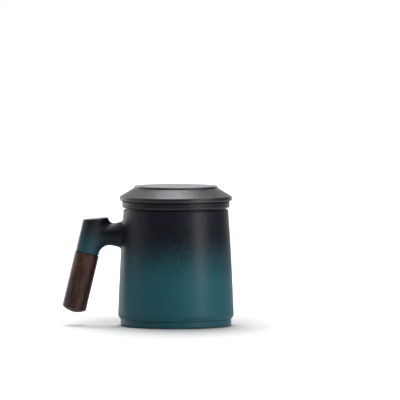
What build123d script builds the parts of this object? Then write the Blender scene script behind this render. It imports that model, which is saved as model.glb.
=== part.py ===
from build123d import *

import os
from math import cos, radians, sin

# Lidded tea mug with a lift-out infuser and a wooden grip, in millimetres.
# The origin is the centre of the foot ring's plane, +Z is up and the handle points to -X.

# ---- Cup: a gently bulging wall that leans in towards the rim, on a stepped foot ----
foot_radius = 44.2  # the band below the step
foot_height = 6.1
foot_edge_round = 2.0
foot_ring_width = 6.5  # the bare ring that the mug stands on
foot_inner_round = 0.6
recess_height = 1.6  # the glazed underside inside the ring
ledge_width = 0.5  # flat underside of the step, where its shadow line is
body_radius = 46.2  # widest, just above the step
body_start = 9.8
side_bulge = 0.45  # of the wall's outside, half way up
rim_radius = 41.8
rim_height = 92.9
rim_round = 0.9
rim_wall = 3.8
floor_height = 8.0
floor_radius = 41.9
floor_corner_round = 9.0

# ---- Infuser: a strainer that hangs from a thick flange on the rim ----
flange_radius = 42.85
flange_top = 99.3
flange_seat_radius = 39.7  # outside this the flange stands clear of the rim
flange_gap = 0.8
flange_wall_start = 94.8  # below this the flange is cut away to the seat
flange_edge_round = 0.35
basket_wall = 3.0
basket_clearance = 0.9  # to the inside of the rim
basket_bottom = 30.0
basket_bottom_radius = 31.0
basket_corner_round = 6.0
basket_floor = 3.4
strainer_hole_radius = 1.1
floor_ring_pitch = 5.5  # from one ring of holes in the floor to the next
floor_ring_count = 4
holes_per_ring_step = 6  # each ring has this many more holes than the last
wall_row_pitch = 6.0
wall_row_count = 3
wall_row_start = 9.0  # lowest row above the basket's underside
wall_holes_per_row = 24

# ---- Lid: a cone with a flat round top and a spigot that fits the infuser ----
lid_height = 111.7
lid_top_radius = 33.2
lid_top_edge_round = 0.45
lid_step_height = 1.6  # the flat top stands this far above the cone
lid_step_width = 0.25
lid_edge_radius = 44.8  # the blunt overhanging edge that fingers lift
lid_edge_top = 103.2
lid_edge_round = 0.8
lid_gap = 0.8  # shadow gap between the lid's edge and the flange
lid_rest_radius = 40.6
spigot_clearance = 0.9
spigot_wall = 3.0
spigot_depth = 6.5
spigot_edge_round = 1.0
hollow_round = 3.0
hollow_radius = 34.6  # widest inside the cone
hollow_widest_height = 103.2
hollow_neck_height = 100.2
lid_roof = 4.4
hollow_top_radius = 27.5

# ---- Handle: an arm, a leaning socket, and a wooden grip on a stud ----
grip_tilt = 13.4  # degrees from upright, with the lower end outwards
seam_x = -70.85  # centre of the joint between wood and ceramic
seam_z = 58.3
seam_gap = 0.5  # filled by the washer
socket_seam_radius = 9.4
socket_top_radius = 9.5
socket_top = 85.75  # on the socket's axis, where its end is cut across
socket_cut_tilt = 4.8  # degrees that the cut rises towards the cup
socket_top_round = 1.1
socket_edge_round = 0.4  # where the ceramic meets the seam
socket_spare = 17.0  # extra length at each end, cut off once the arm is blended in
# Sections of the arm, from inside the socket to inside the cup's wall.
arm_half_depth = 7.6
arm_tail_x = -65.5
arm_tail_bottom = 54.6
arm_web_x = -62.0  # a web under the arm spreads its load down the socket
arm_web_bottom = 57.8
arm_waist_x = -57.5
arm_waist_bottom = 62.9
arm_neck_x = -53.4
arm_neck_bottom = 64.1  # slimmest here, it widens again towards the cup
arm_neck_top = 81.5
arm_mid_x = -46.8  # already widening towards the cup
arm_mid_bottom = 63.0
arm_mid_top = 82.3
arm_mid_half_depth = 8.4
arm_root_x = -40.0
arm_root_bottom = 60.4
arm_root_top = 84.2
arm_root_half_depth = 9.6
arm_socket_round = 5.0
arm_root_round = 2.5
grip_radius = 9.75
grip_length = 44.9
grip_dome = 3.3
grip_edge_round = 0.9
grip_top_round = 0.4

# ---- Hidden joint of the grip ----
stud_radius = 2.5
stud_in_socket = 16.0
stud_in_grip = 15.0
stud_chamfer = 0.6
stud_key_radius = 1.25  # six-sided key socket that drives the stud
stud_key_depth = 2.5
socket_bore_radius = 4.2
socket_bore_depth = 18.0
fit_gap = 0.03  # between pieces that are bonded or screwed together
insert_radius = 4.0
insert_length = 13.0
insert_collar_radius = 4.7
insert_collar_height = 1.2
insert_barb_count = 4
insert_barb_depth = 0.45
insert_barb_height = 1.3
stud_well_depth = 20.0  # depth of the drilled hole in the wood
washer_radius = 8.55

lean = radians(grip_tilt)
grip_up = Vector(sin(lean), 0, cos(lean))
grip_out = Vector(cos(lean), 0, -sin(lean))
seam_centre = Vector(seam_x, 0, seam_z)
# Seen along the grip's axis, with local Z pointing up into the socket.
seam_plane = Plane(origin=seam_centre, x_dir=grip_out, z_dir=grip_up)
# A lengthwise section of the grip: local X is the radius and local Y runs up the axis.
grip_section = Plane(origin=seam_centre, x_dir=grip_out, z_dir=(0, -1, 0))
grip_axis = Axis(seam_centre, grip_up)


def round_corner(section, point, radius):
    """Rounds the corner of a sketch that lies nearest to a point."""
    fillet(section.vertices().sort_by_distance(point)[0], radius)


def arm_plane(x, bottom, top):
    """An upright plane across the arm, centred between two heights: local X is depth, local Y is height."""
    return Plane(origin=(x, 0, (bottom + top) / 2), x_dir=(0, 1, 0), z_dir=(1, 0, 0))


# ======== Handle stub: the arm and the socket, shaped in clay and luted to the cup ========
# The socket is made too long at both ends, blended into the arm, and only then cut, as a potter would.
socket_length = (socket_top - seam_z) / cos(lean)  # along the axis, from the seam to the cut
socket_widening = (socket_top_radius - socket_seam_radius) / socket_length

with BuildPart() as arm:
    with BuildSketch(arm_plane(arm_tail_x, arm_tail_bottom, arm_neck_top)):
        Ellipse(arm_half_depth, (arm_neck_top - arm_tail_bottom) / 2)
    with BuildSketch(arm_plane(arm_web_x, arm_web_bottom, arm_neck_top)):
        Ellipse(arm_half_depth, (arm_neck_top - arm_web_bottom) / 2)
    with BuildSketch(arm_plane(arm_waist_x, arm_waist_bottom, arm_neck_top)):
        Ellipse(arm_half_depth, (arm_neck_top - arm_waist_bottom) / 2)
    with BuildSketch(arm_plane(arm_neck_x, arm_neck_bottom, arm_neck_top)):
        Ellipse(arm_half_depth, (arm_neck_top - arm_neck_bottom) / 2)
    with BuildSketch(arm_plane(arm_mid_x, arm_mid_bottom, arm_mid_top)):
        Ellipse(arm_mid_half_depth, (arm_mid_top - arm_mid_bottom) / 2)
    with BuildSketch(arm_plane(arm_root_x, arm_root_bottom, arm_root_top)):
        Ellipse(arm_root_half_depth, (arm_root_top - arm_root_bottom) / 2)
    loft()

with BuildPart() as handle_stub:
    with BuildSketch(grip_section):
        Polygon(
            (0, -socket_spare),
            (socket_seam_radius - socket_widening * socket_spare, -socket_spare),
            (socket_top_radius + socket_widening * socket_spare, socket_length + socket_spare),
            (0, socket_length + socket_spare),
            align=None,
        )
    revolve(axis=grip_axis)
    socket_edges = handle_stub.edges()
    add(arm.part)
    new_edges = (handle_stub.edges() - socket_edges).filter_by(GeomType.LINE, reverse=True)
    fillet(new_edges.filter_by_position(Axis.X, seam_x, arm_neck_x), arm_socket_round)
    cut_centre = seam_centre + grip_up * socket_length
    rise = radians(socket_cut_tilt)
    split(bisect_by=Plane(origin=cut_centre, z_dir=(-sin(rise), 0, cos(rise))), keep=Keep.BOTTOM)
    split(bisect_by=seam_plane, keep=Keep.TOP)
    fillet(handle_stub.faces().sort_by(Axis.Z)[-1].edges(), socket_top_round)
    fillet(handle_stub.faces().sort_by(Axis.Z)[0].edges(), socket_edge_round)

# ======== Mug body: cup, arm and socket fired as one piece ========
with BuildPart() as mug_body:
    with BuildSketch(Plane.XZ) as cup_section:
        with BuildLine():
            rim_inside = rim_radius - rim_wall
            side_middle = ((body_radius + rim_radius) / 2 + side_bulge, (body_start + rim_height) / 2)
            side = ThreePointArc((body_radius, body_start), side_middle, (rim_radius, rim_height))
            Line(side @ 1, (rim_inside, rim_height))
            Polyline((rim_inside, rim_height), (floor_radius, floor_height), (0, floor_height))
            foot_ring_inside = foot_radius - foot_ring_width
            Polyline(
                (0, floor_height),
                (0, recess_height),
                (foot_ring_inside - recess_height, recess_height),
                (foot_ring_inside, 0),
                (foot_radius, 0),
                (foot_radius, foot_height),
                (foot_radius + ledge_width, foot_height),
            )
            TangentArc(side @ 0, (foot_radius + ledge_width, foot_height), tangent=-(side % 0))
        make_face()
        round_corner(cup_section, (rim_radius, rim_height), rim_round)
        round_corner(cup_section, (rim_inside, rim_height), rim_round)
        round_corner(cup_section, (floor_radius, floor_height), floor_corner_round)
        round_corner(cup_section, (foot_radius, 0), foot_edge_round)
        round_corner(cup_section, (foot_ring_inside, 0), foot_inner_round)
    revolve()
    cup_edges = mug_body.edges()
    add(handle_stub.part)
    arm_root = (mug_body.edges() - cup_edges).filter_by_position(Axis.X, -body_radius, arm_root_x)
    fillet(arm_root, arm_root_round)
    with BuildSketch(seam_plane):
        Circle(socket_bore_radius)
    extrude(amount=socket_bore_depth, mode=Mode.SUBTRACT)
mug_body.part.label = "mug_body"

# ======== Infuser basket: a pierced ceramic strainer hanging from its flange ========
basket_top_radius = rim_radius - rim_wall - basket_clearance
mouth_radius = basket_top_radius - basket_wall
basket_inside_bottom = basket_bottom_radius - basket_wall
with BuildPart() as infuser_basket:
    with BuildSketch(Plane.XZ) as basket_section:
        with BuildLine():
            Polyline(
                (0, basket_bottom),
                (basket_bottom_radius, basket_bottom),
                (basket_top_radius, rim_height),
                (flange_seat_radius, rim_height),
                (flange_seat_radius, rim_height + flange_gap),
                (flange_radius, flange_wall_start),
                (flange_radius, flange_top),
                (mouth_radius, flange_top),
                (mouth_radius, flange_top - spigot_depth - spigot_clearance),
                (basket_inside_bottom, basket_bottom + basket_floor),
                (0, basket_bottom + basket_floor),
                close=True,
            )
        make_face()
        round_corner(basket_section, (basket_bottom_radius, basket_bottom), basket_corner_round)
        inside_round = basket_corner_round - basket_wall
        round_corner(basket_section, (basket_inside_bottom, basket_bottom + basket_floor), inside_round)
        round_corner(basket_section, (flange_radius, flange_wall_start), rim_round)
        round_corner(basket_section, (flange_radius, flange_top), flange_edge_round)
        round_corner(basket_section, (mouth_radius, flange_top), rim_round)
    revolve()
    # Holes in the floor, in rings around a central one.
    with Locations((0, 0, basket_bottom)):
        Hole(strainer_hole_radius)
    for ring in range(1, floor_ring_count + 1):
        with PolarLocations(ring * floor_ring_pitch, ring * holes_per_ring_step):
            Hole(strainer_hole_radius)
    # Staggered rows of holes low in the wall. Each drilling crosses the basket and makes two of them.
    drillings_per_row = wall_holes_per_row // 2
    for row in range(wall_row_count):
        row_height = basket_bottom + wall_row_start + row * wall_row_pitch
        stagger = (row % 2) * 180 / wall_holes_per_row
        with Locations((0, 0, row_height)):
            with PolarLocations(0, drillings_per_row, start_angle=stagger, angular_range=180):
                Cylinder(
                    strainer_hole_radius,
                    2 * basket_top_radius,
                    rotation=(0, 90, 0),
                    mode=Mode.SUBTRACT,
                )
infuser_basket.part.label = "infuser_basket"

# ======== Lid: it rests on the flange and its flat top makes it a stand when turned over ========
spigot_radius = mouth_radius - spigot_clearance
spigot_inside = spigot_radius - spigot_wall
with BuildPart() as lid:
    with BuildSketch(Plane.XZ) as lid_section:
        with BuildLine():
            Polyline(
                (0, lid_height),
                (lid_top_radius, lid_height),
                (lid_top_radius, lid_height - lid_step_height),
                (lid_top_radius + lid_step_width, lid_height - lid_step_height),
                (lid_edge_radius, lid_edge_top),
                (lid_edge_radius, flange_top + lid_gap),
                (lid_rest_radius, flange_top + lid_gap),
                (lid_rest_radius, flange_top),
                (spigot_radius, flange_top),
                (spigot_radius, flange_top - spigot_depth),
                (spigot_inside, flange_top - spigot_depth),
                (spigot_inside, hollow_neck_height),
                (hollow_radius, hollow_widest_height),
                (hollow_top_radius, lid_height - lid_roof),
                (0, lid_height - lid_roof),
                close=True,
            )
        make_face()
        round_corner(lid_section, (lid_top_radius, lid_height), lid_top_edge_round)
        round_corner(lid_section, (lid_edge_radius, lid_edge_top), lid_edge_round)
        round_corner(lid_section, (lid_edge_radius, flange_top + lid_gap), lid_edge_round)
        round_corner(lid_section, (spigot_radius, flange_top - spigot_depth), spigot_edge_round)
        round_corner(lid_section, (spigot_inside, flange_top - spigot_depth), spigot_edge_round)
        round_corner(lid_section, (hollow_radius, hollow_widest_height), hollow_round)
        round_corner(lid_section, (hollow_top_radius, lid_height - lid_roof), hollow_round)
    revolve()
lid.part.label = "lid"

# ======== Wooden grip: turned, domed below, drilled for the insert and the stud ========
grip_start = -seam_gap
with BuildPart() as wooden_grip:
    with BuildSketch(grip_section) as grip_profile:
        with BuildLine():
            dome_edge = (grip_radius, grip_start - grip_length)
            dome_foot = (0, grip_start - grip_length - grip_dome)
            dome = TangentArc(dome_foot, dome_edge, tangent=(1, 0))
            Polyline(dome @ 1, (grip_radius, grip_start), (0, grip_start), dome @ 0)
        make_face()
        round_corner(grip_profile, dome_edge, grip_edge_round)
        round_corner(grip_profile, (grip_radius, grip_start), grip_top_round)
    revolve(axis=grip_axis)
    grip_mouth = seam_plane.offset(grip_start)
    with BuildSketch(grip_mouth):
        Circle(stud_radius + fit_gap)
    extrude(amount=-stud_well_depth, mode=Mode.SUBTRACT)
    with BuildSketch(grip_mouth):
        Circle(insert_radius + fit_gap)
    extrude(amount=-(insert_length + fit_gap), mode=Mode.SUBTRACT)
    with BuildSketch(grip_mouth):
        Circle(insert_collar_radius + fit_gap)
    extrude(amount=-(insert_collar_height + fit_gap), mode=Mode.SUBTRACT)
wooden_grip.part.label = "wooden_grip"

# ======== Brass insert: barbed, so that it holds in the wood ========
with BuildPart() as grip_insert:
    with BuildSketch(grip_mouth):
        Circle(insert_radius)
    extrude(amount=-insert_length)
    with BuildSketch(grip_mouth):
        Circle(insert_collar_radius)
    extrude(amount=-insert_collar_height)
    barb_pitch = (insert_length - insert_collar_height) / insert_barb_count
    for barb in range(insert_barb_count):
        groove_depth = insert_collar_height + (barb + 0.5) * barb_pitch
        with BuildSketch(grip_mouth.offset(-groove_depth)):
            Circle(insert_radius)
            Circle(insert_radius - insert_barb_depth, mode=Mode.SUBTRACT)
        extrude(amount=insert_barb_height / 2, both=True, mode=Mode.SUBTRACT)
    with BuildSketch(grip_mouth):
        Circle(stud_radius + fit_gap)
    extrude(amount=-insert_length, mode=Mode.SUBTRACT)
grip_insert.part.label = "grip_insert"

# ======== Stud: half in the socket's adhesive, half in the insert ========
with BuildPart() as grip_stud:
    with BuildSketch(seam_plane.offset(-stud_in_grip)):
        Circle(stud_radius)
    extrude(amount=stud_in_grip + stud_in_socket)
    chamfer(grip_stud.edges().filter_by(GeomType.CIRCLE), stud_chamfer)
    with BuildSketch(seam_plane.offset(-stud_in_grip)):
        RegularPolygon(stud_key_radius, 6)
    extrude(amount=stud_key_depth, mode=Mode.SUBTRACT)
grip_stud.part.label = "grip_stud"

# ======== Adhesive: the cured plug between the stud and the socket's bore ========
with BuildPart() as stud_adhesive:
    with BuildSketch(seam_plane):
        Circle(socket_bore_radius - fit_gap)
    extrude(amount=socket_bore_depth - fit_gap)
    with BuildSketch(seam_plane):
        Circle(stud_radius + fit_gap)
    extrude(amount=stud_in_socket + fit_gap, mode=Mode.SUBTRACT)
stud_adhesive.part.label = "stud_adhesive"

# ======== Washer: fills the seam between the wood and the ceramic ========
with BuildPart() as grip_gasket:
    with BuildSketch(grip_mouth):
        Circle(washer_radius)
        Circle(stud_radius + fit_gap, mode=Mode.SUBTRACT)
    extrude(amount=seam_gap)
grip_gasket.part.label = "grip_gasket"

os.makedirs("parts", exist_ok=True)
export_step(mug_body.part, "parts/mug_body.step")
export_step(infuser_basket.part, "parts/infuser_basket.step")
export_step(lid.part, "parts/lid.step")
export_step(wooden_grip.part, "parts/wooden_grip.step")
export_step(grip_insert.part, "parts/grip_insert.step")
export_step(grip_stud.part, "parts/grip_stud.step")
export_step(stud_adhesive.part, "parts/stud_adhesive.step")
export_step(grip_gasket.part, "parts/grip_gasket.step")
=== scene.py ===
# %% [markdown]
# # A lidded tea mug with an infuser
#
# This notebook dresses a finished CAD model of a ceramic tea mug: a cup fired in one piece with
# the stub of its handle, a strainer that hangs in it, a flat-topped lid, and a wooden grip held
# on by a hidden stud. Every solid already has its true shape and place, so the work here is what
# a potter and a wood turner would add: glaze, bare clay, grain and light.
#
# The first cell loads the model. Its objects must stay where they are, because the same solids
# move in the physics model. Only what covers them is new.

# %% Load the mug
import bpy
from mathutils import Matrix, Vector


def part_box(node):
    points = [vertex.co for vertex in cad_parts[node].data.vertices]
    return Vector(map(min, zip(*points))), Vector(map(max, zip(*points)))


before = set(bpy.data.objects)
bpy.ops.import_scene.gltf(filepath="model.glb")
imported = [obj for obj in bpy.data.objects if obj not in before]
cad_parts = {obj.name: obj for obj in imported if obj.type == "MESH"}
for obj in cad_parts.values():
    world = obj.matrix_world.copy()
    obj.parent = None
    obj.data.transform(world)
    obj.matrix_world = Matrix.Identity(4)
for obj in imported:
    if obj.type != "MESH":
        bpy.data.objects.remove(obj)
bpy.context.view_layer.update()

from math import cos, degrees, radians, sin

import bpy
from mathutils import Vector

MM = 1000  # millimetres in a metre


def in_mm(lengths):
    """Lengths in metres as rounded millimetres, for printing."""
    return [round(MM * length, 1) for length in lengths]


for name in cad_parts:
    low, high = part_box(name)
    print(name, "measures", in_mm(high - low), "mm")

# %% [markdown]
# ## The camera
#
# A mug is usually pictured from just above table height with a long lens, which keeps its sides
# straight. Such a camera could be set up by eye, but it is safer to work it out: at a few metres,
# the lens follows from how wide a strip of the scene fills the picture.

# %% Camera
picture_width = 0.3194  # metres across, at the cup's axis
camera_distance = 4.4
looking_down = radians(2.95)
picture_centre = Vector((0.01925, 0, 0.1004))  # the mug stands left of the middle
farthest_seen = 100  # metres, well past the end of the table

camera = bpy.data.objects.new("camera", bpy.data.cameras.new("camera"))
bpy.context.scene.collection.objects.link(camera)
bpy.context.scene.camera = camera
towards_camera = Vector((0, -cos(looking_down), sin(looking_down)))
camera.location = picture_centre + camera_distance * towards_camera
camera.rotation_euler = (-towards_camera).to_track_quat("-Z", "Y").to_euler()
camera.data.lens = camera.data.sensor_width * camera_distance / picture_width
camera.data.clip_end = farthest_seen
print("lens", round(camera.data.lens), "mm")

# %% [markdown]
# ## Shorthand for shader nodes
#
# A material is a network of nodes. Written out call by call it is long and hard to read, so the
# next cells make a few short helpers. `lay` adds one node and fills its inputs, each with a plain
# value or with the output of an earlier node. The others are the steps that come back most:
# arithmetic, a step between two limits, a change of range, a blend of two colours and a random
# pattern. A colour is always red, green, blue and an opacity of 1.

# %% Shorthand: nodes and arithmetic
def fill(tree, socket, value):
    """Links an output to an input, or writes a plain value into it."""
    if isinstance(value, bpy.types.NodeSocket):
        tree.links.new(value, socket)
    else:
        socket.default_value = value


def lay(tree, kind, inputs=None, **settings):
    """Adds a node, sets it up and fills its inputs."""
    node = tree.nodes.new("ShaderNode" + kind)
    for name, value in settings.items():
        setattr(node, name, value)
    for name, value in (inputs or {}).items():
        fill(tree, node.inputs[name], value)
    return node


def calc(tree, operation, a, b=0.0, clamp=False):
    """One step of arithmetic."""
    return lay(tree, "Math", {0: a, 1: b}, operation=operation, use_clamp=clamp).outputs[0]


def weighted_sum(tree, *parts):
    """Adds patterns together, each multiplied by its own weight."""
    total = 0.0
    for pattern, weight in parts:
        total = calc(tree, "ADD", total, calc(tree, "MULTIPLY", pattern, weight))
    return total


print("shorthand for arithmetic: fill, lay, calc, weighted_sum")

# %% Shorthand: places and directions
def scaled(tree, vector, factors):
    """Multiplies each part of a vector by its own factor."""
    return lay(tree, "VectorMath", {0: vector, 1: factors}, operation="MULTIPLY").outputs["Vector"]


def how_far(tree, place, direction):
    """How far a place lies in a direction of length 1."""
    vectors = {0: place, 1: direction}
    return lay(tree, "VectorMath", vectors, operation="DOT_PRODUCT").outputs["Value"]


def length_of(tree, vector):
    """The length of a vector."""
    return lay(tree, "VectorMath", {0: vector}, operation="LENGTH").outputs["Value"]


def diagonal(tree, across, up):
    """The straight distance covered by a step across and a step up."""
    return length_of(tree, lay(tree, "CombineXYZ", {"X": across, "Y": up}).outputs["Vector"])


print("shorthand for places: scaled, how_far, length_of, diagonal")

# %% Shorthand: steps, blends and patterns
def even_step(tree, value, start, end):
    """0 at start, 1 at end, and a straight slope between them."""
    limits = {"Value": value, "From Min": start, "From Max": end}
    return lay(tree, "MapRange", limits).outputs["Result"]


def soft_step(tree, value, start, end):
    """0 at start, 1 at end, and a smooth curve between them."""
    limits = {"Value": value, "From Min": start, "From Max": end}
    return lay(tree, "MapRange", limits, interpolation_type="SMOOTHSTEP").outputs["Result"]


def spread(tree, value, at_0, at_1):
    """Stretches a value from 0 to 1 over another range, given by its two ends."""
    return lay(tree, "MapRange", {"Value": value, "To Min": at_0, "To Max": at_1}).outputs["Result"]


def blend_colours(tree, share, first, second):
    """The first colour where share is 0, the second where it is 1."""
    return lay(tree, "Mix", {0: share, 6: first, 7: second}, data_type="RGBA").outputs[2]


def cloud(tree, place, scale, detail=3, roughness=0.55):
    """A soft random pattern with about scale spots to a metre."""
    pattern = {"Vector": place, "Scale": scale, "Detail": detail, "Roughness": roughness}
    return lay(tree, "TexNoise", pattern).outputs["Fac"]


print("shorthand for looks: even_step, soft_step, spread, blend_colours, cloud")

# %% [markdown]
# ## Effects that the glazes share
#
# The cup, the strainer and the lid wear related glazes, so they share three effects. Each is
# built once as a node group with named inputs and outputs, and every material places it with its
# own values. A group gives out only masks, values and colours that change over the surface, and
# the shader itself stays in the material.
#
# **Satin skin.** A satin glaze isn't smooth. Crystals give it a fine tooth, its gloss drifts from
# patch to patch, and the throwing marks of the clay under it show as faint level rings. A noise
# pattern squeezed in height makes the rings, and one that isn't squeezed makes the patches.

# %% Shared effect: satin skin
def new_group(name, inputs, outputs):
    """A node group with number inputs, each with its usual value, and outputs of given kinds."""
    group = bpy.data.node_groups.new(name, "ShaderNodeTree")
    for label, value in inputs.items():
        socket = group.interface.new_socket(label, in_out="INPUT", socket_type="NodeSocketFloat")
        socket.default_value = value
    for label, kind in outputs.items():
        group.interface.new_socket(label, in_out="OUTPUT", socket_type="NodeSocket" + kind)
    enters, leaves = group.nodes.new("NodeGroupInput"), group.nodes.new("NodeGroupOutput")
    return group, enters.outputs, leaves.inputs


patches_per_metre = 38
ring_squeeze = (3, 3, 260)  # spots per metre across, and far more of them upwards
tooth_share = 0.3  # of the drift in gloss; the patches make the rest
satin_skin, given, gives = new_group(
    "satin_skin",
    {"Tooth per metre": 1500, "Satin": 0.36, "Matt": 0.5, "Ring depth": 0.6},
    {"Roughness": "Float", "Height": "Float", "Patches": "Float"},
)
place = lay(satin_skin, "TexCoord").outputs["Object"]
tooth = cloud(satin_skin, place, given["Tooth per metre"], detail=2, roughness=0.6)
patches = cloud(satin_skin, place, patches_per_metre)
level_marks = cloud(satin_skin, scaled(satin_skin, place, ring_squeeze), scale=1, detail=2)
rings = calc(satin_skin, "MULTIPLY", level_marks, given["Ring depth"])
drift = lay(satin_skin, "Mix", {0: tooth_share, 2: patches, 3: tooth}).outputs[0]
matt_share = soft_step(satin_skin, drift, start=0.3, end=0.7)
roughness = spread(satin_skin, matt_share, at_0=given["Satin"], at_1=given["Matt"])
fill(satin_skin, gives["Roughness"], roughness)
fill(satin_skin, gives["Height"], calc(satin_skin, "ADD", tooth, rings))
fill(satin_skin, gives["Patches"], patches)
print(satin_skin.name, "has", len(satin_skin.nodes), "nodes")

# %% [markdown]
# ** Painted edge line.** A mask along one circle round the pot. Pale lines drawn with it are
# painted highlights that rounded edges catch, partly also glaze that melts thin there, and dark
# lines are painted shade under edges and in gaps. The edges of a turned pot are circles, so each
# line can be found by its radius and height alone. That is steadier than asking the mesh how
# sharp it is at every point.

# %% Shared effect: painted edge line
bumps_per_metre = 160
narrowest, widest = 0.45, 1.35  # the line's half width wanders between these, times Width
painted_edge_line, given, gives = new_group(
    "painted_edge_line", {"Radius": 0.04, "Height": 0.09, "Width": 0.001}, {"Mask": "Float"}
)
place = lay(painted_edge_line, "TexCoord").outputs["Object"]
radius = length_of(painted_edge_line, scaled(painted_edge_line, place, (1, 1, 0)))
height = lay(painted_edge_line, "SeparateXYZ", {0: place}).outputs["Z"]
sideways = calc(painted_edge_line, "SUBTRACT", radius, given["Radius"])
upwards = calc(painted_edge_line, "SUBTRACT", height, given["Height"])
distance = diagonal(painted_edge_line, sideways, upwards)
in_widths = calc(painted_edge_line, "DIVIDE", distance, given["Width"])
bumps = cloud(painted_edge_line, place, bumps_per_metre)
reach = spread(painted_edge_line, bumps, at_0=narrowest, at_1=widest)
fill(painted_edge_line, gives["Mask"], calc(painted_edge_line, "SUBTRACT", reach, in_widths, clamp=True))
print(painted_edge_line.name, "has", len(painted_edge_line.nodes), "nodes")

# %% [markdown]
# **Bare clay.** Glaze melts like glass and would stick to the kiln's shelf, so the faces that a
# piece stands on in the kiln are wiped clean. They show the fired stoneware, which is matt, sandy
# and flecked with iron.

# %% Shared effect: bare clay
dark_clay, pale_clay = (0.17, 0.115, 0.075, 1), (0.27, 0.2, 0.14, 1)
iron = (0.035, 0.022, 0.015, 1)
clay_patches_per_metre, grains_per_metre = 55, 700
bare_clay, given, gives = new_group("bare_clay", {"Sand per metre": 900}, {"Colour": "Color"})
place = lay(bare_clay, "TexCoord").outputs["Object"]
sand = cloud(bare_clay, place, given["Sand per metre"], detail=4, roughness=0.7)
warmth = cloud(bare_clay, place, clay_patches_per_metre)
fired = blend_colours(bare_clay, warmth, dark_clay, pale_clay)
cells = lay(bare_clay, "TexVoronoi", {"Vector": place, "Scale": grains_per_metre}).outputs
grain = soft_step(bare_clay, cells["Distance"], start=0.22, end=0.12)
chosen = calc(bare_clay, "GREATER_THAN", sand, 0.52)  # only some of the grains hold iron
fleck = calc(bare_clay, "MULTIPLY", grain, chosen)
fill(bare_clay, gives["Colour"], blend_colours(bare_clay, fleck, fired, iron))
print(bare_clay.name, "has", len(bare_clay.nodes), "nodes")

# %% [markdown]
# ## Two-tone glaze for the cup
#
# The cup is dipped in teal and then sprayed with black from above. The spray thins out on its way
# down, so black turns to teal through a mist of fine dots. It reaches less far down on the
# handle, which stands out to the side.
#
# An image could hold that fade, but it would have to be wrapped round the cup. Here it is worked
# out from each point's height instead: a smooth share of black, broken up by a random pattern
# where the black is thin.

# %% Starting a material
def new_material(name):
    """A material: its tree, its shader's inputs, and the object's own coordinates."""
    material = bpy.data.materials.new(name)
    material.use_nodes = True
    tree = material.node_tree
    place = lay(tree, "TexCoord").outputs["Object"]
    return material, tree, tree.nodes["Principled BSDF"].inputs, place


def shared(tree, group, **values):
    """Places a shared effect with this material's own values, and returns its outputs."""
    node = tree.nodes.new("ShaderNodeGroup")
    node.node_tree = group
    for name, value in values.items():
        node.inputs[name.replace("_", " ").capitalize()].default_value = value
    return node.outputs


def relief(tree, height, strength, depth):
    """A normal that lets a height pattern catch the light. Depth is in metres."""
    bump = {"Height": height, "Strength": strength, "Distance": depth}
    return lay(tree, "Bump", bump).outputs["Normal"]


print("a material starts with new_material, shared and relief")

# %% Two-tone glaze: where black turns to teal
cup_teal_height, cup_black_height = 0.030, 0.076  # metres: all teal below, all black above
handle_teal_height, handle_black_height = 0.058, 0.084
cup_ends, handle_begins = -0.048, -0.066  # along X; one fade turns into the other between them

cup_glaze, tree, shader, place = new_material("two_tone_glaze")
position = lay(tree, "SeparateXYZ", {0: place}).outputs
on_handle = even_step(tree, position["X"], start=cup_ends, end=handle_begins)
fade_bottom = spread(tree, on_handle, at_0=cup_teal_height, at_1=handle_teal_height)
fade_top = spread(tree, on_handle, at_0=cup_black_height, at_1=handle_black_height)
black_share = even_step(tree, position["Z"], start=fade_bottom, end=fade_top)
print("the mist hangs from", MM * cup_black_height, "down to", MM * cup_teal_height, "mm")

# %% Two-tone glaze: mist
def swing(tree, pattern):
    """A pattern from 0 to 1 as a swing to both sides of 0."""
    return calc(tree, "SUBTRACT", pattern, 0.5)


dots_per_metre, drifts_per_metre = 620, 42
cup_mist, handle_mist, drift_strength = 0.92, 0.4, 0.22
dots = cloud(tree, place, dots_per_metre, detail=4, roughness=0.75)
drifts = cloud(tree, place, drifts_per_metre, detail=2)
mist_strength = spread(tree, on_handle, at_0=cup_mist, at_1=handle_mist)
unevenness = weighted_sum(
    tree, (swing(tree, dots), mist_strength), (swing(tree, drifts), drift_strength)
)
broken_share = calc(tree, "ADD", black_share, unevenness)
blackness = soft_step(tree, broken_share, start=0.02, end=0.98)
print("the mist has", dots_per_metre, "dots to the metre")

# %% Two-tone glaze: colours
deep_teal, thin_teal = (0.0095, 0.071, 0.092, 1), (0.0120, 0.084, 0.107, 1)
deep_black, thin_black = (0.0050, 0.0056, 0.0092, 1), (0.0068, 0.0076, 0.0122, 1)
skin = shared(tree, satin_skin, tooth_per_metre=1500, satin=0.36, matt=0.5, ring_depth=0.6)
teal = blend_colours(tree, skin["Patches"], deep_teal, thin_teal)
black = blend_colours(tree, skin["Patches"], deep_black, thin_black)
glaze = blend_colours(tree, blackness, teal, black)
print("teal and black are mixed")

# %% [markdown]
# Lines are painted along three edges: a painted highlight on the rim and on the edge of the step
# above the foot, and painted shade in the angle under that step. Each of these lines needs one
# painted edge line and one blend.
#
# Four more things set the cup apart. The handle's socket gets a thin grey painted sheen over both
# colours.
# The foot's ring is wiped bare where it stands. The black dries to a higher gloss than the teal,
# and fingers polish the handle. A mask for the bare ring blends the clay in, and the same mask
# raises the roughness, because bare clay is matt.

# %% Two-tone glaze: painted highlights and painted shade
def draw_line(tree, glaze, radius, height, width, strength, colour):
    """Blends a colour in along a circle round the pot. The lengths are in metres."""
    line = shared(tree, painted_edge_line, radius=radius, height=height, width=width)["Mask"]
    return blend_colours(tree, calc(tree, "MULTIPLY", line, strength), glaze, colour)


# Painted highlights on the rim and on the step's edge, and painted shade under the step
cup_lines = {  # radius, height, width, strength and colour
    "a painted highlight on the rim": (0.0407, 0.0932, 0.0009, 0.8, (0.110, 0.113, 0.120, 1)),
    "a painted highlight on the step": (0.0455, 0.0070, 0.0014, 0.8, (0.030, 0.120, 0.145, 1)),
    "painted shade under the step": (0.0445, 0.0058, 0.0007, 0.85, (0.003, 0.018, 0.025, 1)),
}
for where, line in cup_lines.items():
    glaze = draw_line(tree, glaze, *line)
    print("the glaze gets", where)
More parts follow.
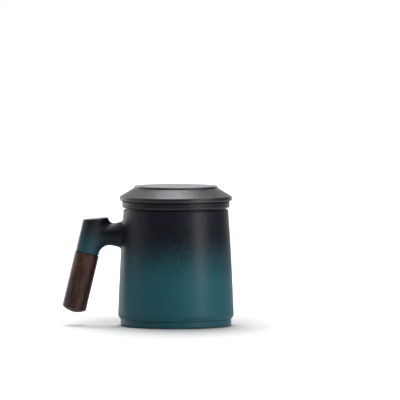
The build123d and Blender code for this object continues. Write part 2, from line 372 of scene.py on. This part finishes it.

# %% Two-tone glaze: painted sheen on the socket and the bare foot
# Painted sheen: a thin grey over the socket, where it would catch reflected light
socket_sheen_colour, socket_sheen_strength = (0.058, 0.053, 0.056, 1), 0.2
on_socket = soft_step(tree, position["X"], start=-0.054, end=-0.063)
bloom_and_sheen = calc(tree, "MULTIPLY", on_socket, socket_sheen_strength)
glaze = blend_colours(tree, bloom_and_sheen, glaze, socket_sheen_colour)

wobbles_per_metre, wobble_height = 120, 0.0008
all_glaze, all_clay = 0.0012, 0.0008  # metres up the foot, before the line wanders
clay_sand = 900  # grains to a metre
clay = shared(tree, bare_clay, sand_per_metre=clay_sand)
wobble = calc(tree, "MULTIPLY", cloud(tree, place, wobbles_per_metre), wobble_height)
foot_height = calc(tree, "ADD", position["Z"], wobble)
wiped = soft_step(tree, foot_height, start=all_glaze, end=all_clay)
fill(tree, shader["Base Color"], blend_colours(tree, wiped, glaze, clay["Colour"]))
wiped_height = (all_glaze + all_clay - wobble_height) / 2
print("the ring is wiped up to about", round(MM * wiped_height, 1), "mm")

# %% Two-tone glaze: gloss and relief
clay_roughness = 0.85
black_gloss = spread(tree, blackness, at_0=1.0, at_1=0.94)
handle_gloss = spread(tree, on_handle, at_0=1.0, at_1=0.6)
polish = calc(tree, "MINIMUM", black_gloss, handle_gloss)
polished = calc(tree, "MULTIPLY", skin["Roughness"], polish)
matt_foot = calc(tree, "MULTIPLY", wiped, clay_roughness)
fill(tree, shader["Roughness"], calc(tree, "MAXIMUM", polished, matt_foot))
fill(tree, shader["Normal"], relief(tree, skin["Height"], strength=0.35, depth=0.00012))
shader["Specular IOR Level"].default_value = 0.2
print(cup_glaze.name, "has", len(tree.nodes), "nodes")

# %% [markdown]
# ## Black glaze for the lid and the strainer
#
# The lid and the strainer wear the sprayed black alone. It has a coarser tooth than the cup's
# glaze, and a grey bloom where it lies thickest. The lid's flat top is smoother than the rest,
# because it doubles as a stand: turned over on the table, it holds the wet strainer, and that
# polishes it. Upright faces are a little glossier too.
#
# The lid is fired on the ring that later rests on the strainer, and the strainer on its
# underside, so those faces are bare.

# %% Black glaze: values
dense_black, worn_black = (0.0060, 0.0064, 0.0092, 1), (0.0105, 0.0110, 0.0150, 1)
grey_bloom = (0.030, 0.030, 0.036, 1)
# Colours and strengths for lines of painted highlight along edges and painted shade in gaps
painted_highlight_colour, painted_shade_colour = (0.060, 0.058, 0.060, 1), (0.0015, 0.0015, 0.002, 1)
highlight_strength, shade_strength = 0.6, 1.0
bloom_spots_per_metre = 760
top_begins, top_full = 0.1110, 0.1116  # heights that only the lid's flat top reaches
top_polish, side_polish, top_tooth = 0.66, 0.8, 0.35  # shares of what the rest has
print("the flat top starts", round(MM * top_begins, 1), "mm above the table")

# %% Black glaze
def black_glaze(name, specular, speckle, highlight_lines, shade_lines, bare_from, bare_to):
    """Black satin glaze with lines of painted highlight and painted shade, each a radius, height
    and width.

    Faces that look down are bare clay between the heights bare_from and bare_to."""
    material, tree, shader, place = new_material(name)
    skin = shared(tree, satin_skin, tooth_per_metre=1250, satin=0.36, matt=0.5, ring_depth=0.5)
    glaze = blend_colours(tree, skin["Patches"], dense_black, worn_black)
    spots = cloud(tree, place, bloom_spots_per_metre, detail=2, roughness=0.7)
    bloom_and_sheen = calc(tree, "MULTIPLY", soft_step(tree, spots, start=0.42, end=0.68), speckle)
    glaze = blend_colours(tree, bloom_and_sheen, glaze, grey_bloom)
    # Painted highlights along the rounded edges, then painted shade in the gaps
    for edge in highlight_lines:
        glaze = draw_line(tree, glaze, *edge, highlight_strength, painted_highlight_colour)
    for shade_line in shade_lines:
        glaze = draw_line(tree, glaze, *shade_line, shade_strength, painted_shade_colour)

    clay = shared(tree, bare_clay, sand_per_metre=clay_sand)
    facing = lay(tree, "SeparateXYZ", {0: lay(tree, "TexCoord").outputs["Normal"]}).outputs["Z"]
    downward = soft_step(tree, facing, start=-0.75, end=-0.92)
    level = lay(tree, "SeparateXYZ", {0: place}).outputs["Z"]
    above = calc(tree, "GREATER_THAN", level, bare_from)
    below = calc(tree, "LESS_THAN", level, bare_to)
    bare = calc(tree, "MULTIPLY", downward, calc(tree, "MULTIPLY", above, below))
    fill(tree, shader["Base Color"], blend_colours(tree, bare, glaze, clay["Colour"]))

    on_top = soft_step(tree, level, start=top_begins, end=top_full)
    worn = spread(tree, on_top, at_0=1.0, at_1=top_polish)
    steep = soft_step(tree, calc(tree, "ABSOLUTE", facing), start=0.55, end=0.25)
    upright = spread(tree, steep, at_0=1.0, at_1=side_polish)
    satin = calc(tree, "MULTIPLY", skin["Roughness"], calc(tree, "MULTIPLY", worn, upright))
    matt_face = calc(tree, "MULTIPLY", bare, clay_roughness)
    fill(tree, shader["Roughness"], calc(tree, "MAXIMUM", satin, matt_face))
    tooth = calc(tree, "MULTIPLY", skin["Height"], spread(tree, on_top, at_0=1.0, at_1=top_tooth))
    fill(tree, shader["Normal"], relief(tree, tooth, strength=0.75, depth=0.00024))
    shader["Specular IOR Level"].default_value = specular
    print(name, "has", len(tree.nodes), "nodes")
    return material


# %% Glazes of the lid and the strainer
# Painted shade in the gaps and painted highlights on the edges; each line is a radius, a height and
# a width in metres
shadow_gap = (0.0412, 0.0998, 0.0019)  # between the lid and the strainer's flange
lid_highlights = [
    (0.0332, 0.1117, 0.0008),  # round the flat top
    (0.0434, 0.1041, 0.0008),  # at the foot of the cone
    (0.0446, 0.1007, 0.0008),  # under the overhanging edge
]
overhang = (0.0446, 0.1024, 0.0014)  # the overhanging edge itself, which the cone shades
# Painted highlights on the strainer's flange
flange_highlights = [
    (0.0426, 0.0949, 0.0012),  # the flange's lower corner, seen from below
    (0.0429, 0.0951, 0.0008),  # and from the side
]
lid_glaze = black_glaze(
    "lid_glaze", specular=0.38, speckle=1.0, highlight_lines=lid_highlights, shade_lines=[shadow_gap, overhang],
    bare_from=0.0990, bare_to=0.0995,
)
strainer_glaze = black_glaze(
    "strainer_glaze", specular=0.2, speckle=0.35, highlight_lines=flange_highlights, shade_lines=[shadow_gap],
    bare_from=0.0295, bare_to=0.0305,
)

# %% [markdown]
# ## Dark walnut for the grip
#
# The grip is turned from a dark hardwood and oiled. Its grain is a solid pattern: growth rings
# are thin shells round a pith line that lay beside this piece, and long fibres and open pores run
# along them. Working in three dimensions makes the rings close over the domed end by themselves,
# which a flat wood image can't do.
#
# The pattern needs directions along and across the grip, which leans, so the first cell measures
# each point against the grip's own axis.

# %% Walnut: directions along the grip
grip_lean = radians(13.4)
grip_top = Vector((-0.07085, 0, 0.0583))
along_grip = Vector((sin(grip_lean), 0, cos(grip_lean)))
across_grip = Vector((cos(grip_lean), 0, -sin(grip_lean)))


def grip_place(tree, place):
    """Each point's place measured from the top of the grip: across it, in depth, and along it."""
    vectors = {0: place, 1: grip_top}
    from_top = lay(tree, "VectorMath", vectors, operation="SUBTRACT").outputs["Vector"]
    across = how_far(tree, from_top, across_grip)
    depth = lay(tree, "SeparateXYZ", {0: from_top}).outputs["Y"]
    return across, depth, how_far(tree, from_top, along_grip)


def stretched(tree, on_grip, crosswise, lengthwise):
    """Coordinates for a pattern with so many spots to a metre across and along the grip."""
    across, depth, along = on_grip
    return lay(tree, "CombineXYZ", {
        "X": calc(tree, "MULTIPLY", across, crosswise),
        "Y": calc(tree, "MULTIPLY", depth, crosswise),
        "Z": calc(tree, "MULTIPLY", along, lengthwise),
    }).outputs["Vector"]


def drawn_cloud(tree, on_grip, crosswise, lengthwise, **pattern):
    """A random pattern that is drawn out along or across the grip."""
    return cloud(tree, stretched(tree, on_grip, crosswise, lengthwise), scale=1, **pattern)


print("the grip leans", round(degrees(grip_lean), 1), "degrees")

# %% Walnut: growth rings
rings_per_metre = 520
ring_waver = 5.5  # rings by which the pattern bends them
pith_across, pith_depth = 0.016, 0.009  # metres from the grip's axis to the pith
walnut, tree, shader, place = new_material("dark_walnut")
on_grip = grip_place(tree, place)
across, depth, along = on_grip
bend = drawn_cloud(tree, on_grip, crosswise=45, lengthwise=22, detail=2)
from_pith = calc(tree, "ADD", across, pith_across), calc(tree, "ADD", depth, pith_depth)
pith_distance = diagonal(tree, *from_pith)
ring_count = weighted_sum(tree, (pith_distance, rings_per_metre), (bend, ring_waver))
ring = calc(tree, "FRACT", ring_count)
darkens = soft_step(tree, ring, start=0.35, end=0.85)
stops = soft_step(tree, ring, start=1.0, end=0.93)
late_wood = calc(tree, "MULTIPLY", darkens, stops)
print("growth rings are", round(MM / rings_per_metre, 1), "mm apart")

# %% Walnut: figure, streaks, fibres and pores
fibres = drawn_cloud(tree, on_grip, crosswise=1700, lengthwise=42, detail=3, roughness=0.6)
figure = drawn_cloud(tree, on_grip, crosswise=210, lengthwise=95, detail=4, roughness=0.65)
streaks = drawn_cloud(tree, on_grip, crosswise=430, lengthwise=110, detail=3, roughness=0.6)
pore_place = stretched(tree, on_grip, crosswise=1500, lengthwise=190)
pore_cells = lay(tree, "TexVoronoi", {"Vector": pore_place, "Scale": 1}).outputs
pore_shape = soft_step(tree, pore_cells["Distance"], start=0.26, end=0.14)
pore_rows = soft_step(tree, streaks, start=0.4, end=0.55)
pores = calc(tree, "MULTIPLY", pore_shape, pore_rows)
print("the walnut has rings, figure, streaks, fibres and pores")

# %% [markdown]
# The parts of the pattern are mixed from pale to dark. The cloudy figure weighs most, then the
# streaks, the fibres and the late wood of each ring. The pores come last. They are holes, so they
# are dark and also set the relief. Oil stays glossiest where the fibres are dense.

# %% Walnut: colour and finish
pale_wood, dark_wood = (0.078, 0.028, 0.0165, 1), (0.0145, 0.0048, 0.0035, 1)
pore_colour, pore_strength = (0.006, 0.004, 0.004, 1), 0.75
fibre_rise = 0.5  # times the depth of a pore
tone = weighted_sum(tree, (figure, 1.5), (streaks, 0.6), (fibres, 0.2), (late_wood, 0.12))
darkness = soft_step(tree, tone, start=0.88, end=1.36)
wood = blend_colours(tree, darkness, pale_wood, dark_wood)
wood = blend_colours(tree, calc(tree, "MULTIPLY", pores, pore_strength), wood, pore_colour)
fill(tree, shader["Base Color"], wood)
fill(tree, shader["Roughness"], spread(tree, fibres, at_0=0.46, at_1=0.28))
surface = calc(tree, "SUBTRACT", calc(tree, "MULTIPLY", fibres, fibre_rise), pores)
fill(tree, shader["Normal"], relief(tree, surface, strength=0.5, depth=0.00012))
shader["Specular IOR Level"].default_value = 0.4
print(walnut.name, "has", len(tree.nodes), "nodes")

# %% [markdown]
# ## The hidden fastening
#
# Inside the handle a steel stud is glued into the socket and screws into a brass insert in the
# wood. They only show when the handle is taken apart, but a part in a library may be. Metal
# turned on a lathe has fine rings round its axis, so both metals share one effect.

# %% Shared effect: turned metal
spots_across, tarnish_per_metre = 60, 260
turned_metal, given, gives = new_group(
    "turned_metal",
    {"Cuts per metre": 4200, "Bright": 0.22, "Dull": 0.42},
    {"Roughness": "Float", "Height": "Float", "Tarnish": "Float"},
)
place = lay(turned_metal, "TexCoord").outputs["Object"]
on_grip = grip_place(turned_metal, place)
lathe_cuts = drawn_cloud(turned_metal, on_grip, spots_across, given["Cuts per metre"], detail=2)
stains = cloud(turned_metal, place, tarnish_per_metre, detail=4, roughness=0.65)
tarnish = soft_step(turned_metal, stains, start=0.42, end=0.72)
wear = lay(turned_metal, "Mix", {0: 0.5, 2: lathe_cuts, 3: tarnish}).outputs[0]
roughness = spread(turned_metal, wear, at_0=given["Bright"], at_1=given["Dull"])
fill(turned_metal, gives["Roughness"], roughness)
fill(turned_metal, gives["Height"], lathe_cuts)
fill(turned_metal, gives["Tarnish"], tarnish)
print(turned_metal.name, "has", len(turned_metal.nodes), "nodes")

# %% Brass and steel
def turned(name, clean, tarnished, bright, dull):
    """Bare metal from a lathe, a little tarnished."""
    material, tree, shader, place = new_material(name)
    marks = shared(tree, turned_metal, cuts_per_metre=4200, bright=bright, dull=dull)
    fill(tree, shader["Base Color"], blend_colours(tree, marks["Tarnish"], clean, tarnished))
    fill(tree, shader["Roughness"], marks["Roughness"])
    fill(tree, shader["Normal"], relief(tree, marks["Height"], strength=0.3, depth=0.00005))
    shader["Metallic"].default_value = 1
    print(name, "has", len(tree.nodes), "nodes")
    return material


clean_brass, brown_brass = (0.78, 0.56, 0.24, 1), (0.42, 0.27, 0.11, 1)
clean_zinc, grey_zinc = (0.62, 0.63, 0.64, 1), (0.40, 0.41, 0.42, 1)
brass = turned("turned_brass", clean_brass, brown_brass, bright=0.2, dull=0.4)
steel = turned("zinc_plated_steel", clean_zinc, grey_zinc, bright=0.28, dull=0.5)

# %% [markdown]
# The glue is a cured epoxy, pale amber and slightly cloudy, with a few trapped bubbles. The
# washer at the seam is a thin ring of black rubber, matt and dusty. Each needs only a colour that
# varies and a rough surface.

# %% Glue
amber, cloudy_amber = (0.30, 0.22, 0.10, 1), (0.50, 0.42, 0.26, 1)
bubbles_per_metre = 900
glue, tree, shader, place = new_material("cured_glue")
haze = cloud(tree, place, scale=300, detail=4)
fill(tree, shader["Base Color"], blend_colours(tree, haze, amber, cloudy_amber))
cells = lay(tree, "TexVoronoi", {"Vector": place, "Scale": bubbles_per_metre}).outputs
bubbles = soft_step(tree, cells["Distance"], start=0.25, end=0.1)
fill(tree, shader["Roughness"], spread(tree, cloud(tree, place, scale=800), at_0=0.25, at_1=0.5))
fill(tree, shader["Normal"], relief(tree, bubbles, strength=0.4, depth=0.0001))
print(glue.name, "has", len(tree.nodes), "nodes")

# %% Rubber
clean_rubber, dusty_rubber = (0.008, 0.008, 0.009, 1), (0.030, 0.029, 0.028, 1)
rubber, tree, shader, place = new_material("black_rubber")
dust = cloud(tree, place, scale=700, detail=4, roughness=0.7)
fill(tree, shader["Base Color"], blend_colours(tree, dust, clean_rubber, dusty_rubber))
fill(tree, shader["Roughness"], spread(tree, dust, at_0=0.7, at_1=0.95))
fill(tree, shader["Normal"], relief(tree, dust, strength=0.3, depth=0.00005))
print(rubber.name, "has", len(tree.nodes), "nodes")

# %% [markdown]
# ## Dressing the solids
#
# Each solid gets its finish in place of the plain one that came with it.

# %% Put the finishes on
finishes = {
    "mug_body": cup_glaze,
    "infuser_basket": strainer_glaze,
    "lid": lid_glaze,
    "wooden_grip": walnut,
    "grip_insert": brass,
    "grip_stud": steel,
    "stud_adhesive": glue,
    "grip_gasket": rubber,
}
for name, finish in finishes.items():
    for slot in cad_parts[name].material_slots:
        slot.material = finish
    print(name, "wears", finish.name)

# %% [markdown]
# ## Table and light
#
# The mug stands on a plain white table under soft studio light. Dark satin glaze shows its form
# mainly by what it mirrors, so the lights are large soft panels: one overhead that whitens the
# lid, a tall one at the front right for the streak down the cup, one above the camera that fills
# the front, and one at the back left that draws the left outlines.
#
# The room itself is a dim grey in front and bright behind, as in a studio with a white backdrop.
# The camera sees it plain white all round, and reflections find it white behind the mug. The
# table glows white far from the mug, where the camera or a reflection meets it, so that no
# horizon shows. Near the mug it is plain paint and keeps the mug's shadow.

# %% Where white is seen
unlit, white = (0, 0, 0, 1), (1, 1, 1, 1)
towards_backdrop = (-0.62, 0.785, 0)  # level, away from the camera and to the left


def seen_white(tree, back, start, end, camera_share=1.0):
    """1 where the camera, or a reflection of what lies far enough back, meets plain white."""
    rays = lay(tree, "LightPath").outputs
    pictured = calc(tree, "MULTIPLY", rays["Is Camera Ray"], camera_share)
    mirrored = calc(tree, "MAXIMUM", rays["Is Glossy Ray"], rays["Is Transmission Ray"])
    behind = soft_step(tree, back, start=start, end=end)
    return calc(tree, "MAXIMUM", pictured, calc(tree, "MULTIPLY", mirrored, behind))


print("white is seen by the camera and by mirrored rays")

# %% Table
half_width = 6.0
corners = [(x * half_width, y * half_width, 0) for x, y in ((-1, -1), (1, -1), (1, 1), (-1, 1))]
table_mesh = bpy.data.meshes.new("table")
table_mesh.from_pydata(corners, [], [(0, 1, 2, 3)])
table = bpy.data.objects.new("table", table_mesh)
bpy.context.scene.collection.objects.link(table)
print("the table is", 2 * half_width, "m across")

# %% Table paint
grey_paint, pale_paint = (0.50, 0.50, 0.50, 1), (0.54, 0.54, 0.54, 1)
patch_shape = (1.9, 1, 1)  # the plain patch is narrow across and long in depth, like the shadow
paint, tree, shader, place = new_material("white_table")
mottle = cloud(tree, place, scale=300, detail=2)
distance = length_of(tree, scaled(tree, place, patch_shape))
far = soft_step(tree, distance, start=0.08, end=0.34)
fill(tree, shader["Base Color"], blend_colours(tree, mottle, grey_paint, pale_paint))
shader["Roughness"].default_value = 0.9
shader["Specular IOR Level"].default_value = 0.0
back = how_far(tree, place, towards_backdrop)
glow = seen_white(tree, back, start=0.2, end=1.0, camera_share=far)
fill(tree, shader["Emission Color"], blend_colours(tree, glow, unlit, white))
shader["Emission Strength"].default_value = 1
table_mesh.materials.append(paint)
print(paint.name, "has", len(tree.nodes), "nodes")

# %% Lights
middle_of_mug = Vector((0, 0, 0.06))


def soft_panel(name, bearing, climb, distance, width, height, power):
    """A light panel aimed at the mug. A bearing of 0 is at the camera, and 90 at the right."""
    light = bpy.data.lights.new(name, "AREA")
    light.shape, light.size, light.size_y, light.energy = "RECTANGLE", width, height, power
    panel = bpy.data.objects.new(name, light)
    bpy.context.scene.collection.objects.link(panel)
    turn, rise = radians(bearing), radians(climb)
    outwards = Vector((sin(turn) * cos(rise), -cos(turn) * cos(rise), sin(rise)))
    panel.location = middle_of_mug + distance * outwards
    panel.rotation_euler = outwards.to_track_quat("Z", "Y").to_euler()
    panel.visible_camera = False
    print(name, "gives", power, "W")


panels = {  # bearing and climb in degrees, distance, width and height in metres, power in watts
    "overhead panel": (180, 76, 1.2, 0.42, 0.62, 13.5),
    "streak panel": (52, 20, 1.3, 0.42, 1.0, 12.5),
    "fill panel": (-10, 62, 1.5, 1.0, 0.6, 8),
    "edge panel": (-140, 12, 1.4, 0.5, 1.0, 4.0),
}
for name, settings in panels.items():
    soft_panel(name, *settings)

# %% Room
dim_front, bright_back = (0.03, 0.03, 0.035, 1), (0.97, 0.97, 1.0, 1)
room = bpy.data.worlds.new("studio")
bpy.context.scene.world = room
room.use_nodes = True
tree = room.node_tree
direction = lay(tree, "TexCoord").outputs["Generated"]
back = how_far(tree, direction, towards_backdrop)
studio = blend_colours(tree, soft_step(tree, back, start=0.0, end=0.6), dim_front, bright_back)
plain = seen_white(tree, back, start=0.1, end=0.75)
fill(tree, tree.nodes["Background"].inputs["Color"], blend_colours(tree, plain, studio, white))
bpy.context.scene.view_settings.view_transform = "Standard"
print("the room is lit")
